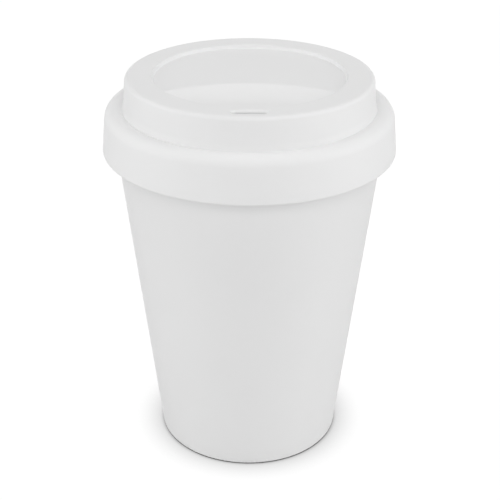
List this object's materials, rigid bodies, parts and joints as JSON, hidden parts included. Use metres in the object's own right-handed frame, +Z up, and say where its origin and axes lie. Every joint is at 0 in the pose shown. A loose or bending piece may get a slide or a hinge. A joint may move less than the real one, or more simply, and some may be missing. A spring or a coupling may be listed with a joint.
{
  "type": "takeaway coffee cup",
  "caption": "Tapered takeaway coffee cup with a push-on lid that has a raised drinking ring, a scooped recess and a sip slot.",
  "frame": {"origin": "centre of the foot ring on the surface that the cup stands on", "axes": "+Z up along the cup's axis; the sip slot in the lid is on the -Y side"},
  "size_m": [0.09, 0.09, 0.1225],
  "materials": {
    "cup": "fine matte, near-white",
    "lid": "soft matte, near-white"
  },
  "bodies": {
    "cup": {"cup": "cup"},
    "lid": {"lid": "lid"}
  },
  "joints": [
    {"name": "lid_lift", "type": "slide", "parent": "cup", "child": "lid", "axis": [0, 0, 1], "range_m": [0, 0.06]}
  ]
}
